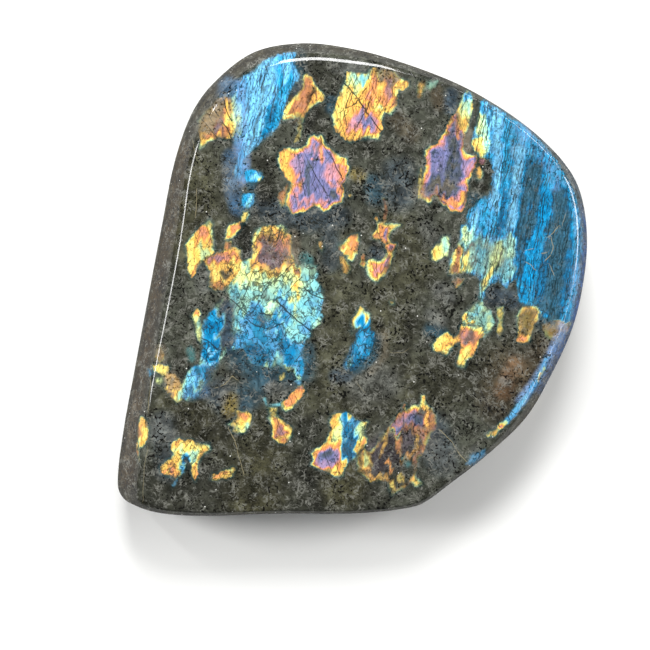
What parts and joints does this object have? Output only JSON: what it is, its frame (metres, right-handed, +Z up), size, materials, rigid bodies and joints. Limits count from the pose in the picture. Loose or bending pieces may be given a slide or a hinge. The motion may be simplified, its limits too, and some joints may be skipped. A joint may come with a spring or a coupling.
{
  "type": "polished labradorite freeform slab",
  "caption": "Palm-size freeform slab of polished labradorite with a flat back, a polished face, rounded rims and a ground foot; a display stone that lies flat.",
  "frame": {"origin": "centre of the slab's bounding box, on the surface that its flat back lies on", "axes": "+Z up through the slab, from the flat back to the polished face; +Y from the ground foot to the rounded top end; +X to the right, seen from above the polished face"},
  "size_m": [0.0952, 0.0958, 0.022],
  "materials": {
    "labradorite": "polished dark grey feldspar with blue, teal, gold and violet flashes under a glassy surface"
  },
  "bodies": {
    "root": {"stone": "labradorite"}
  },
  "joints": []
}
